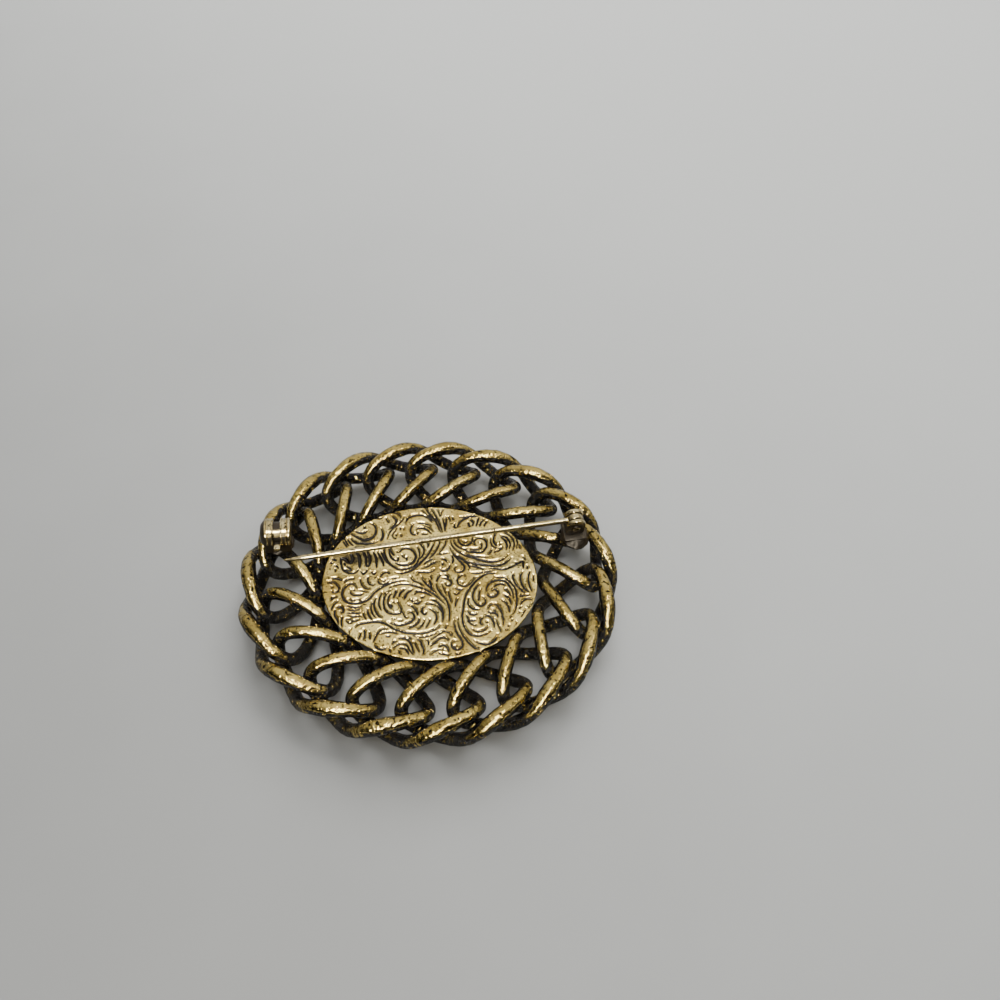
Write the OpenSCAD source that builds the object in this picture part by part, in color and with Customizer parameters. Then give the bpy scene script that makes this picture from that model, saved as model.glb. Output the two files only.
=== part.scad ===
// Oval glass cabochon brooch, lying face down: the back plate and the pin are on top.
// +Z is up, +X runs along the long axis to the hinge, and +Y away from the viewer.
// All sizes are millimetres. The origin lies on the surface, under the middle of the brooch.

/* [Chain border] */
// Half the length of the oval that the links' middles lie on
path_x = 24.1; // [23.9:0.1:24.3]
// Half the width of that oval
path_y = 19.8; // [19.6:0.1:20]
// Thickness of the link wire
wire_d = 2.08; // [1.6:0.02:2.1]
// Half the length of a link, along the chain
link_a = 8.5; // [8.3:0.1:8.6]
// Half the breadth of a link, across the chain
link_b = 5.85; // [5.75:0.05:5.95]
// Twist of a link from one end to the other, in degrees
link_twist = 100; // [96:1:102]
// Rise of the links towards the outside, as a slope
link_dish = 0.113; // [0.1:0.001:0.12]

/* [Setting] */
// Half the length of the back plate
plate_x = 17.4; // [17.2:0.1:17.5]
// Half the width of the back plate
plate_y = 13.36; // [13.2:0.02:13.4]
// Thickness of the back plate
plate_t = 0.35; // [0.35:0.05:0.5]
// Height of the scrolls and the rim above the plate
relief_h = 0.12; // [0.1:0.02:0.2]
// Height of the stone's dome under its girdle
dome_h = 2.95; // [2.5:0.05:3]

/* [Pin and hinge] */
// Thickness of the pin stem
stem_d = 0.9; // [0.8:0.05:1]
// Thickness of the rivet
rivet_d = 1; // [0.9:0.05:1]
// Thickness of each hinge ear
ear_t = 0.6; // [0.5:0.05:0.7]

/* [Catch] */
// Outer diameter of the catch tube
catch_d = 5; // [4.9:0.1:5]
// Outer diameter of the turning barrel
barrel_d = 3.8; // [3.7:0.1:3.8]

/* [Hidden] */
eps = 0.01;
$fn = 48;

// Chain: 19 links, each turned a little and laid so that each passes through the next two
link_count = 19;
chain_phase = 0.413;
link_lean = 1.5;
end_fullness = 0.98;
end_shear = -0.15;
side_fullness = 0.3;
link_rings = 32;
wire_sides = 6;
chain_z = 3.9713;
// Moves everything so that the origin is under the middle of the whole brooch
centre_shift = [-0.104, 0.087, 0];

// The oval path, as a table of arc length against angle, so that links are evenly spaced
path_step = 1;
function path_point(a) = [path_x * cos(a), path_y * sin(a), 0];
arc_table = [
    for (a = 0, s = 0; a <= 360; s = s + norm(path_point(a + path_step) - path_point(a)), a = a + path_step)
        [s, a]
];
path_length = arc_table[len(arc_table) - 1][0];
top_length = path_length / 4;
function wrap(s) = s - path_length * floor(s / path_length);
function link_angle(k) = lookup(wrap(top_length + (chain_phase - k) * path_length / link_count), arc_table);

// Setting, from the plate down to the stone's apex. It sits a little towards the viewer in the border
setting_shift = centre_shift + [0.05, -0.22, 0];
plate_z = 4.78;
plate_top = plate_z + plate_t;
rim_w = 0.35;
cup_x = 16.8;
cup_y = 12.8;
cup_wall = 0.5;
cup_top = plate_z - 0.05;
cup_low = 2.05;
lip_w = 0.95;
lip_t = 0.4;
stone_gap = 0.12;
girdle_z = 3.2;
girdle_t = 1.2;
dome_rings = 8;
dome_sides = 48;
oval_sides = 96;
scroll_step = 22.5;
scroll_w = 0.5;

// Scrolls on the plate: each row is one spiral, clear of its neighbours
// columns: middle x, middle y, outer radius, turns, start angle, hand (1 is anticlockwise)
SCROLLS = [
    [-11.4, 7.7, 1.6, 1.25, 200, -1],
    [-3.2, 8.9, 1.6, 1.25, 20, 1],
    [-4.4, 4.1, 2.6, 1.5, 180, 1],
    [4.6, 8.4, 1.5, 1.25, 160, 1],
    [7.7, 6.3, 1.5, 1.25, 200, 1],
    [11, 7.4, 1.8, 1.5, 340, 1],
    [-13.3, 2.7, 1.7, 1.25, 90, -1],
    [-12.1, -2.7, 2, 1.5, 330, 1],
    [-5.5, -4.9, 1.8, 1.5, 150, 1],
    [-2.4, -6.9, 1.3, 1.25, 180, -1],
    [0.5, -4.9, 1.9, 1.5, 10, -1],
    [-13.9, -5.9, 1, 1.25, 140, -1],
    [8, -3.6, 1.3, 1.25, 150, 1],
    [10.9, -1.9, 1.6, 1.5, 120, -1],
    [9.5, -6.9, 1.7, 1.5, 330, -1],
    [-6.9, -10.9, 1, 1.25, 200, 1],
    [4.7, -10.7, 1, 1.25, 340, -1],
    [2.2, 0.1, 0.9, 1.25, 60, -1],
    [4.9, 1.2, 0.9, 1.25, 120, 1],
    [-7.8, -0.2, 0.9, 1.25, 160, 1]
];

// Raised oval frames round the larger groups of scrolls
// columns: middle x, middle y, half length, half width
FRAMES = [
    [-4.4, 4.1, 3.2, 3.05],
    [-2.7, -5.4, 5.9, 3.9],
    [9.7, -4.2, 4, 4.9]
];
frame_w = 0.35;

// Hinge and pin stem
hinge_pos = [23.15, 8.5, 10.1];
tip_pos = [-22.44, 0.19, 9.9];
to_tip = tip_pos - hinge_pos;
pin_spin = atan2(-to_tip[1], -to_tip[0]);
pin_reach = norm([to_tip[0], to_tip[1]]);
play = 0.06;
eye_t = 0.95;
eye_r = 1.5;
ear_r = 1.55;
ear_rise = 0.55;
ear_gap = 0.17;
foot_top = -2;
foot_t = 0.85;
foot_x = 1.85;
foot_near = 2.3;
foot_far = 1.6;
head_r = 0.75;
head_t = 0.25;
stem_rise = 0.8;
neck_l = 4.2;
neck_r = 0.475;
point_l = 3;
point_r = 0.12;
ear_y = eye_t / 2 + ear_gap;

// Catch: its own axis runs to the hinge and dips towards the middle of the brooch
catch_pos = [-24.3, 4.45, 10.5];
catch_dip = 10;
catch_bore_r = barrel_d / 2 + 0.05;
barrel_bore_r = 1.25;
end_l = 1;
end_r = 1.5;
band_x0 = -1.34;
slot_x0 = -0.38;
slot_x1 = 0.73;
band_x1 = 1.74;
cheek_t = 0.5;
base_t = 0.6;
base_depth = 3.02;
base_near = 1.9;
base_far = 2.1;
// Angles round the catch's axis, from the far side over the top to the near side
mouth_from = 166;
mouth_to = 238;
slot_from = -20;
barrel_open_from = 188;
barrel_open_to = 236;
tab_angle = 176;
tab_w = 0.95;
tab_h = 0.8;
tab_r = 3.1;

function link_name(k) = str("link_", k < 9 ? "0" : "", k + 1);
LINK_NODES = [for (k = [0:link_count - 1]) link_name(k)];
SETTING_NODES = ["back_plate", "setting_cup", "cabochon"];
FITTING_NODES = ["hinge_bracket", "hinge_rivet", "pin_stem", "catch_body", "catch_barrel"];

function unit(v) = v / norm(v);

// Middle line of a link at angle t: x along the chain, y outwards, z up
function link_flat(t) = [
    link_a * cos(t) + end_fullness * cos(3 * t) + end_shear * sin(3 * t),
    link_b * sin(t) + side_fullness * sin(3 * t)
];
function link_twisted(t) =
    let (p = link_flat(t), th = link_twist * cos(t) / 2)
    [p[0], p[1] * cos(th), -p[1] * sin(th)];
function link_line(t) =
    let (
        q = link_twisted(t),
        x = q[0] * cos(link_lean) - q[1] * sin(link_lean),
        y = q[0] * sin(link_lean) + q[1] * cos(link_lean)
    )
    [x, y, q[2] + link_dish * y];

// One ring of the wire's skin at angle t
function wire_ring(t) =
    let (
        c = link_line(t),
        along = unit(link_line(t + 1) - link_line(t - 1)),
        out = unit(c - (c * along) * along),
        up = cross(along, out)
    )
    [for (j = [0:wire_sides - 1]) c + wire_d / 2 * (cos(j * 360 / wire_sides) * out + sin(j * 360 / wire_sides) * up)];

// A link is a closed tube of wire, in flat facets
module link_wire() {
    points = [for (i = [0:link_rings - 1]) each wire_ring(i * 360 / link_rings)];
    function id(i, j) = (i % link_rings) * wire_sides + j % wire_sides;
    faces = [
        for (i = [0:link_rings - 1], j = [0:wire_sides - 1])
            each [
                [id(i, j), id(i, j + 1), id(i + 1, j + 1)],
                [id(i, j), id(i + 1, j + 1), id(i + 1, j)]
            ]
    ];
    polyhedron(points, faces, convexity = 6);
}

// Link k, counted clockwise from the top of the oval
module link(k) {
    a = link_angle(k);
    along = [path_x * sin(a), -path_y * cos(a)];
    color("darkgoldenrod")
        translate(path_point(a) + [0, 0, chain_z] + centre_shift)
            rotate([0, 0, atan2(along[1], along[0])])
                link_wire();
}

// Oval prism, from height z0 to z1
module oval(x, y, z0, z1) {
    translate([0, 0, z0])
        linear_extrude(z1 - z0)
            polygon([for (i = [0:oval_sides - 1]) [x * cos(i * 360 / oval_sides), y * sin(i * 360 / oval_sides)]]);
}

// One raised spiral: its ribbon narrows towards the middle
module scroll(s) {
    span = s[3] * 360;
    function r(u) = s[2] * pow(0.2, u / span);
    function at(u, r) = [s[0], s[1]] + r * [cos(s[4] + s[5] * u), sin(s[4] + s[5] * u)];
    outer = [for (u = [0:scroll_step:span]) at(u, r(u))];
    inner = [for (u = [span:-scroll_step:0]) at(u, r(u) - min(scroll_w, 0.5 * r(u)))];
    polygon(concat(outer, inner));
}

module back_plate() {
    relief_z = plate_z + plate_t / 2;
    relief_top = plate_top + relief_h;
    color("goldenrod")
        translate(setting_shift) {
            difference() {
                oval(plate_x, plate_y, plate_z, relief_top);
                oval(plate_x - rim_w, plate_y - rim_w, plate_top, relief_top + 1);
            }
            for (f = FRAMES)
                translate([f[0], f[1], 0])
                    difference() {
                        oval(f[2], f[3], relief_z, relief_top);
                        oval(f[2] - frame_w, f[3] - frame_w, relief_z - 1, relief_top + 1);
                    }
            for (s = SCROLLS)
                translate([0, 0, relief_z])
                    linear_extrude(relief_top - relief_z)
                        scroll(s);
        }
}

module setting_cup() {
    color("darkgoldenrod")
        translate(setting_shift)
            difference() {
                oval(cup_x, cup_y, cup_low, cup_top);
                oval(cup_x - cup_wall, cup_y - cup_wall, cup_low + lip_t, cup_top + 1);
                oval(cup_x - lip_w, cup_y - lip_w, cup_low - 1, cup_top);
            }
}

// The stone: a girdle, and a dome in flat facets under it
module cabochon() {
    gx = cup_x - cup_wall - stone_gap;
    gy = cup_y - cup_wall - stone_gap;
    function dome_ring(v) = [
        for (i = [0:dome_sides - 1])
            [
                gx * cos(v) * cos(i * 360 / dome_sides),
                gy * cos(v) * sin(i * 360 / dome_sides),
                girdle_z - dome_h * sin(v)
            ]
    ];
    rings = [for (k = [0:dome_rings - 1]) each dome_ring(k * 90 / dome_rings)];
    lid = [for (p = dome_ring(0)) p + [0, 0, girdle_t]];
    points = concat(lid, rings, [[0, 0, girdle_z - dome_h]]);
    apex = len(points) - 1;
    function id(k, i) = k * dome_sides + i % dome_sides;
    faces = concat(
        [[for (i = [dome_sides - 1:-1:0]) i]],
        [for (k = [0:dome_rings - 1], i = [0:dome_sides - 1]) each [
            [id(k, i), id(k, i + 1), id(k + 1, i + 1)],
            [id(k, i), id(k + 1, i + 1), id(k + 1, i)]
        ]],
        [for (i = [0:dome_sides - 1]) [id(dome_rings, i), id(dome_rings, i + 1), apex]]
    );
    color("darkorange", 0.6)
        translate(setting_shift)
            polyhedron(points, faces, convexity = 2);
}

// Points a shape's own z axis from one point at another
module aim(from, to) {
    d = to - from;
    translate(from)
        rotate([0, acos(d[2] / norm(d)), atan2(d[1], d[0])])
            children();
}

// The hinge's own frame: x runs away from the pin's tip, y along the rivet
module at_hinge() {
    translate(hinge_pos + centre_shift)
        rotate([0, 0, pin_spin])
            children();
}

// A round plate or hole across the rivet's line, from y0 to y1
module across(y0, y1, r) {
    translate([0, y1, 0])
        rotate([90, 0, 0])
            cylinder(h = y1 - y0, r = r);
}

module hinge_ear(y0) {
    translate([0, 0, ear_rise])
        across(y0, y0 + ear_t, ear_r);
    translate([-ear_r, y0, foot_top - eps])
        cube([2 * ear_r, ear_t, ear_rise - foot_top + eps]);
}

module hinge_bracket() {
    color("saddlebrown")
        at_hinge()
            difference() {
                union() {
                    hinge_ear(ear_y);
                    hinge_ear(-ear_y - ear_t);
                    translate([-foot_x, -foot_near, foot_top - foot_t])
                        cube([2 * foot_x, foot_near + foot_far, foot_t]);
                }
                across(-ear_y - ear_t - 1, ear_y + ear_t + 1, rivet_d / 2 + play);
            }
}

module hinge_rivet() {
    end = ear_y + ear_t + play;
    color("gold")
        at_hinge() {
            across(-end - eps, end + eps, rivet_d / 2);
            across(end, end + head_t, head_r);
            across(-end - head_t, -end, head_r);
        }
}

// The stem: a neck that narrows a little, the round stem and the taper to the point
module pin_stem() {
    start = [-0.4, 0, stem_rise];
    tip = [-pin_reach, 0, to_tip[2]];
    length = norm(tip - start);
    r = stem_d / 2;
    neck = [[0, 0], [max(r + 0.01, neck_r), 0], [r, neck_l]];
    point = [[r, length - point_l], [point_r, length], [0, length]];
    color("palegoldenrod")
        at_hinge()
            difference() {
                union() {
                    across(-eye_t / 2, eye_t / 2, eye_r);
                    aim(start, tip)
                        rotate_extrude()
                            polygon(concat(neck, point));
                }
                across(-eye_t, eye_t, rivet_d / 2 + play);
            }
}

// The catch's own frame: z runs along its axis towards the hinge, x to the far side, y up
module at_catch() {
    translate(catch_pos + centre_shift)
        rotate([0, catch_dip, pin_spin])
            rotate([90, 0, 90])
                children();
}

// A wedge about the axis, from angle a0 to a1 and from z0 to z1
module wedge(a0, a1, z0, z1) {
    r = 2 * catch_d;
    mid = (a0 + a1) / 2;
    translate([0, 0, z0])
        linear_extrude(z1 - z0)
            polygon([[0, 0], r * [cos(a0), sin(a0)], r * [cos(mid), sin(mid)], r * [cos(a1), sin(a1)]]);
}

module catch_body() {
    z_end = band_x0 - end_l;
    z_top = band_x1 + cheek_t;
    color("darkkhaki")
        at_catch()
            difference() {
                union() {
                    translate([0, 0, z_end])
                        cylinder(h = end_l, r1 = end_r, r2 = catch_d / 2);
                    translate([0, 0, band_x0])
                        cylinder(h = z_top - band_x0, r = catch_d / 2);
                    translate([-base_near, -base_depth, band_x0 - end_l / 2])
                        cube([base_near + base_far, base_t + 1, z_top - band_x0 + end_l / 2]);
                }
                translate([0, 0, band_x0])
                    cylinder(h = band_x1 - band_x0, r = catch_bore_r);
                translate([0, 0, z_end - 1])
                    cylinder(h = z_top - z_end + 2, r = barrel_bore_r);
                wedge(mouth_from, mouth_to, z_end - 1, z_top + 1);
                wedge(slot_from, 110, slot_x0, slot_x1);
                wedge(100, mouth_to, slot_x0, slot_x1);
            }
}

module catch_barrel() {
    color("olive")
        at_catch() {
            difference() {
                translate([0, 0, band_x0 + play])
                    cylinder(h = band_x1 - band_x0 - 2 * play, r = barrel_d / 2);
                translate([0, 0, band_x0 - 1])
                    cylinder(h = band_x1 - band_x0 + 2, r = barrel_bore_r);
                wedge(barrel_open_from, barrel_open_to, band_x0 - 1, band_x1 + 1);
            }
            rotate([0, 0, tab_angle])
                translate([barrel_bore_r + 0.2, -tab_h / 2, (slot_x0 + slot_x1 - tab_w) / 2])
                    cube([tab_r - barrel_bore_r - 0.2, tab_h, tab_w]);
        }
}

for (k = [0:link_count - 1])
    link(k);
back_plate();
setting_cup();
cabochon();
hinge_bracket();
hinge_rivet();
pin_stem();
catch_body();
catch_barrel();
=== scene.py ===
# %% [markdown]
# # Oval cabochon brooch, seen from its back
# The brooch lies face down. What shows is its back: a border of heavy curb links, a plate with scrolls
# pressed into it, and a pin stem between a hinge and a safety catch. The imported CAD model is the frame,
# and each new piece is laid over the solid that it stands for, at the same place and size. Sizes are in
# millimetres, and MM turns them into Blender's metres.

# %% Tools and frame
import math

import bpy
import numpy as np
from mathutils import Matrix, Vector, kdtree, noise


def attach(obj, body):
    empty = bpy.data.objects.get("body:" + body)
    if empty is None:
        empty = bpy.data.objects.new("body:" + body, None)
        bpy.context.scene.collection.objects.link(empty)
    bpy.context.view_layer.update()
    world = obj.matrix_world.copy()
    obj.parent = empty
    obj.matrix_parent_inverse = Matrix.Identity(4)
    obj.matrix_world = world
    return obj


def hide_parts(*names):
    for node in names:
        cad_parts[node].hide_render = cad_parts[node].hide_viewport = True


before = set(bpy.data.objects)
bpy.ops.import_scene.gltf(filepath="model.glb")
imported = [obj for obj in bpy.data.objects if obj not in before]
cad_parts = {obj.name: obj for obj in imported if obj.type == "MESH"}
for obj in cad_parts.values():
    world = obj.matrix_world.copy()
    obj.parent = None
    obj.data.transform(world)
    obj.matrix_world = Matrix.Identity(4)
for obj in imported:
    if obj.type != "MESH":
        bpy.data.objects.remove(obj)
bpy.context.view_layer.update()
MM = 0.001

# %% [markdown]
# ## Camera
# The camera is held about 11 cm away, looking down at 60 degrees and turned by 2 degrees. Its three
# directions are worked out from those angles, so that nothing has to be turned by eye.

# %% Camera
CAMERA_PLACE = Vector((10.606, -44.203, 107.41)) * MM
AZIMUTH, ELEVATION, ROLL = math.radians(-0.28), math.radians(59.9), math.radians(2.0)
SENSOR_WIDTH, LENS_SHARE = 36, 0.683
near_side = math.cos(ELEVATION)
back = Vector((math.sin(AZIMUTH) * near_side, -math.cos(AZIMUTH) * near_side, math.sin(ELEVATION)))
level = Vector((math.cos(AZIMUTH), math.sin(AZIMUTH), 0))
rise = back.cross(level)
side = level * math.cos(ROLL) + rise * math.sin(ROLL)
top = rise * math.cos(ROLL) - level * math.sin(ROLL)
camera = bpy.data.objects.new("camera", bpy.data.cameras.new("camera"))
bpy.context.scene.collection.objects.link(camera)
camera.matrix_world = Matrix.Translation(CAMERA_PLACE) @ Matrix((side, top, back)).transposed().to_4x4()
camera.data.sensor_width = SENSOR_WIDTH
camera.data.lens = SENSOR_WIDTH * LENS_SHARE
camera.data.clip_start, camera.data.clip_end = 2 * MM, 5
bpy.context.scene.camera = camera
print("camera at", [round(v / MM, 1) for v in CAMERA_PLACE], "mm, lens", round(camera.data.lens, 1))

# %% [markdown]
# ## Floor and lamps
# The brooch lies on plain pale card. A window beyond it lights the card and throws a soft shadow forward.
# Two small lamps are seen only by polished surfaces: they draw the bright lines along the wires, and don't
# wash the shadow out.

# %% Floor and lamps
bpy.ops.object.select_all(action="DESELECT")
bpy.ops.mesh.primitive_plane_add(size=1.6)
floor = bpy.context.object
floor.name = "floor"


def add_lamp(name, place, size, power, colour):
    """A square soft lamp that faces the brooch. Its place and size are in millimetres."""
    lamp = bpy.data.objects.new(name, bpy.data.lights.new(name, "AREA"))
    bpy.context.scene.collection.objects.link(lamp)
    lamp.data.shape = "SQUARE"
    lamp.data.size = size * MM
    lamp.data.energy = power
    lamp.data.color = colour
    lamp.location = Vector(place) * MM
    lamp.rotation_euler = (-Vector(place)).to_track_quat("-Z", "Y").to_euler()
    return lamp


window = add_lamp("lamp_window", (60, 420, 430), 380, 3.6, (1, 0.99, 0.97))
window.visible_glossy = False
front = add_lamp("lamp_front", (-60, -320, 390), 90, 4.0, (1, 0.95, 0.82))
above = add_lamp("lamp_above", (50, -90, 500), 80, 1.9, (1, 0.96, 0.86))
front.visible_diffuse = above.visible_diffuse = False
add_lamp("lamp_side", (330, 120, 380), 120, 0.3, (1, 0.985, 0.95))

# %% [markdown]
# ## Room
# Polished metal shows what surrounds it, so the room matters as much as the lamps. It is bright beyond the
# brooch and dim on the viewer's side, where the camera is held. That gives the dark fronts and bright tops
# of the real metal. The grey of a direction comes from how far it points along the slope.

# %% Room
ROOM_SLOPE = (0.05, 0.64, 0.77)
ROOM_GREYS = [(0.15, 0.015), (0.45, 0.35), (0.7, 0.9), (1.0, 1.4)]
room = bpy.data.worlds.new("room")
bpy.context.scene.world = room
room.use_nodes = True
room_nodes, room_links = room.node_tree.nodes, room.node_tree.links
direction = room_nodes.new("ShaderNodeTexCoord")
slope = room_nodes.new("ShaderNodeVectorMath")
slope.operation = "DOT_PRODUCT"
slope.inputs[1].default_value = ROOM_SLOPE
ramp = room_nodes.new("ShaderNodeValToRGB")
for position, _ in ROOM_GREYS[2:]:
    ramp.color_ramp.elements.new(position)
for stop, (position, grey) in zip(ramp.color_ramp.elements, ROOM_GREYS):
    stop.position, stop.color = position, (grey, grey, grey * 0.98, 1)
room_links.new(direction.outputs["Generated"], slope.inputs[0])
room_links.new(slope.outputs["Value"], ramp.inputs["Fac"])
room_links.new(ramp.outputs["Color"], room_nodes["Background"].inputs["Color"])
print("room:", len(ramp.color_ramp.elements), "greys along", ROOM_SLOPE)

# %% [markdown]
# ## A small language for finishes
# A finish is a material with a few procedural textures. Wrapping a socket in a class lets the maths be
# written as plain Python, such as `1 - worn * 0.5`, and one method adds every other kind of node. The first
# finish made with it is the card. Its colour is painted lighter towards the window and the right, and darker
# towards the near side and the left. This is painted light, with a little random unevenness.

# %% Finishes in plain Python
class Tone:
    """A value or a colour inside one finish."""

    def __init__(self, finish, socket):
        self.finish, self.socket = finish, socket

    def maths(self, operation, first, second):
        return self.finish.node("ShaderNodeMath", {"operation": operation}, {0: first, 1: second})

    def __add__(self, other):
        return self.maths("ADD", self, other)

    def __sub__(self, other):
        return self.maths("SUBTRACT", self, other)

    def __rsub__(self, other):
        return self.maths("SUBTRACT", other, self)

    def __mul__(self, other):
        return self.maths("MULTIPLY", self, other)

    __radd__, __rmul__ = __add__, __mul__

    def held(self, low, high):
        """The same value, eased from 0 to 1 as it goes from low to high."""
        ends = {"Value": self, "From Min": low, "From Max": high}
        return self.finish.node("ShaderNodeMapRange", {"interpolation_type": "SMOOTHSTEP"}, ends)


class Finish:
    """A material that is built node by node. Its constants go straight on the shader's sockets."""

    def __init__(self, name, **constants):
        self.material = bpy.data.materials.new(name)
        self.material.use_nodes = True
        self.shader = self.material.node_tree.nodes["Principled BSDF"]
        self.wear(**constants)

    def node(self, kind, settings=None, inputs=None, output=0):
        made = self.material.node_tree.nodes.new(kind)
        for name, value in (settings or {}).items():
            setattr(made, name, value)
        for name, value in (inputs or {}).items():
            self.plug(value, made.inputs[name])
        return Tone(self, made.outputs[output])

    def plug(self, value, socket):
        if isinstance(value, Tone):
            self.material.node_tree.links.new(value.socket, socket)
        else:
            socket.default_value = value

    def wear(self, **sockets):
        for socket, value in sockets.items():
            self.plug(value, self.shader.inputs[socket.replace("_", " ")])
        return self.material

    def attribute(self, name):
        return self.node("ShaderNodeAttribute", {"attribute_name": name}, output="Fac")

    def place(self, kind="Object"):
        return self.node("ShaderNodeTexCoord", output=kind)

    def vector_maths(self, operation, first, second, output=0):
        return self.node("ShaderNodeVectorMath", {"operation": operation}, {0: first, 1: second}, output)

    def grain(self, scale, detail=3.0, roughness=0.55, place=None):
        """Soft random noise with so many patches to a metre, or to a unit of the place given."""
        inputs = {"Vector": place or self.place(), "Scale": scale, "Detail": detail, "Roughness": roughness}
        return self.node("ShaderNodeTexNoise", {}, inputs)

    def strokes(self):
        """Short hammer strokes that lie across a wire, from the wire's own UV map."""
        return self.grain(1.0, 3.0, 0.6, self.vector_maths("MULTIPLY", self.place("UV"), (95, 5, 0)))

    def mix(self, share, first, second):
        return self.node("ShaderNodeMix", {"data_type": "RGBA"}, {0: share, 6: first, 7: second}, output=2)

    def bump(self, height, distance):
        return self.node("ShaderNodeBump", {}, {"Height": height, "Distance": distance, "Strength": 1.0})


CARD_DIM, CARD_LIGHT = (0.32, 0.322, 0.318, 1), (0.56, 0.572, 0.562, 1)
card = Finish("pale_card", Roughness=0.7)
# Painted light: the card's colour is lighter towards the window and the right, and darker towards the near
# left.
tilt = card.vector_maths("DOT_PRODUCT", card.place(), (2.6, 3.0, 0), output=1)
shade = (tilt + card.grain(25) * 0.2).held(-0.45, 0.6)
floor.data.materials.append(card.wear(Base_Color=card.mix(shade, CARD_DIM, CARD_LIGHT)))
print("first finish:", card.material.name, "with", len(card.material.node_tree.nodes), "nodes")

# %% [markdown]
# ## Antiqued gold
# Costume jewellery of this kind is cast or pressed, gold plated, dipped in a black wash and then rubbed
# bright. The wash stays in the hollows and the gold comes back on the crests. Each piece therefore carries an
# attribute, from 0 in a hollow to 1 on a crest, and the finish mixes wash and gold by it. On several pieces
# the same attribute also holds painted light: painted shade between wires, under the plate and the pin and on
# lower sides, and a painted lit band on the catch sleeve.
# Two golds, a pale and a deep one, meet in soft patches.

# %% Antiqued gold
def antique_gold(name, golds, wash, patchiness, pit_scale, pit_depth, rough_gold, rough_wash, ridged=False):
    """Gold on the crests, wash in the hollows and in painted shade, small pits all over, and ridges across
    hammered wire.
    """
    pale, deep = golds
    finish = Finish(name, Specular_IOR_Level=0.33)
    patches = finish.grain(900, 4, 0.7)
    specks = finish.grain(pit_scale, 2)
    relief = specks * 0.6 + finish.strokes() if ridged else specks
    ridges = relief.held(0.83, 0.96) * 0.6 if ridged else 0.0
    wear_and_painted_light = (finish.attribute("wear_and_painted_light") + (patches - 0.5) * patchiness + ridges).held(0.3, 0.6)
    bright = finish.mix(finish.grain(260, 2).held(0.3, 0.7), deep, pale)
    return finish.wear(
        Base_Color=finish.mix(wear_and_painted_light * specks.held(0.33, 0.45), wash, bright),
        Metallic=wear_and_painted_light * 0.7 + 0.3,
        Roughness=rough_wash - wear_and_painted_light * (rough_wash - rough_gold) + (patches - 0.5) * 0.1,
        Normal=finish.bump(relief * (1.2 - wear_and_painted_light), pit_depth),
    )


wire_gold = antique_gold(
    "wire_gold", [(0.5, 0.378, 0.118, 1), (0.3, 0.215, 0.06, 1)], wash=(0.0035, 0.0015, 0.0006, 1),
    patchiness=1.1, pit_scale=1700, pit_depth=0.0008, rough_gold=0.16, rough_wash=0.25, ridged=True,
)
plate_gold = antique_gold(
    "plate_gold", [(1.0, 0.79, 0.27, 1), (0.48, 0.335, 0.085, 1)], wash=(0.009, 0.005, 0.0006, 1),
    patchiness=0.5, pit_scale=3200, pit_depth=0.0001, rough_gold=0.22, rough_wash=0.25,
)
fitting_gold = antique_gold(
    "fitting_gold", [(0.6, 0.5, 0.27, 1), (0.42, 0.33, 0.145, 1)], wash=(0.03, 0.021, 0.01, 1),
    patchiness=0.5, pit_scale=2200, pit_depth=0.00001, rough_gold=0.18, rough_wash=0.42,
)
print("gold finishes:", wire_gold.name, plate_gold.name, fitting_gold.name)

# %% [markdown]
# ## Small helpers for the bench
# Every piece ends the same way: it gets its name, its finish and its place in the frame, it rides on a
# body, and it stands for its CAD node. Attributes are written vertex by vertex from numpy arrays.

# %% Bench helpers
def deselect_all():
    if bpy.context.object and bpy.context.object.mode == "EDIT":
        bpy.ops.object.mode_set(mode="OBJECT")
    bpy.ops.object.select_all(action="DESELECT")


def start_from(add_primitive, **settings):
    """A new primitive to shape, with everything else deselected."""
    deselect_all()
    add_primitive(**settings)
    return bpy.context.object


def turn_faces_out():
    """Leaves edit mode, with every face of the active piece pointing outwards."""
    bpy.ops.object.mode_set(mode="EDIT")
    bpy.ops.mesh.select_all(action="SELECT")
    bpy.ops.mesh.normals_make_consistent(inside=False)
    bpy.ops.object.mode_set(mode="OBJECT")


def points_of(piece):
    flat = np.zeros(len(piece.data.vertices) * 3)
    piece.data.vertices.foreach_get("co", flat)
    return flat.reshape(-1, 3)


def normals_of(piece):
    flat = np.zeros(len(piece.data.vertices) * 3, np.float32)
    piece.data.vertex_normals.foreach_get("vector", flat)
    return flat.reshape(-1, 3).astype(float)


def move_points(piece, points):
    piece.data.vertices.foreach_set("co", np.asarray(points, np.float32).ravel())
    piece.data.update()


def write_wear_and_painted_light(piece, values):
    made = piece.data.attributes.new("wear_and_painted_light", "FLOAT", "POINT")
    made.data.foreach_set("value", np.asarray(values, np.float32))


def eased(values, low, high):
    share = np.clip((values - low) / (high - low), 0, 1)
    return share * share * (3 - 2 * share)


def grainy(points, scale, seed):
    """Perlin noise at each point, from about -1 to 1. Scale is the size of a patch in the points' unit."""
    offset = Vector((seed * 7.1, seed * 3.7, seed * 5.3))
    return np.array([noise.noise(Vector(p) / scale + offset) for p in points])


def finish_piece(piece, name, *nodes, material=fitting_gold, slot="fitting_metal", body="setting"):
    piece.name = name
    piece.data.name = name
    piece.data.materials.clear()
    piece.data.materials.append(material)
    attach(piece, body)
    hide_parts(*nodes)
    print(name, "faces:", len(piece.data.polygons))


print("grain at two places:", grainy([(0, 0, 0), (0.4, 0, 0)], 1.1, 1).round(2))

# %% [markdown]
# ## One curb link
# A curb link is a ring of wire, made long and then twisted, so that its two long sides lean over and the
# links nest. Its middle line is a drawn-out oval whose width is turned about the chain as it goes. The
# links stand on an oval path, evenly spaced.

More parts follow.
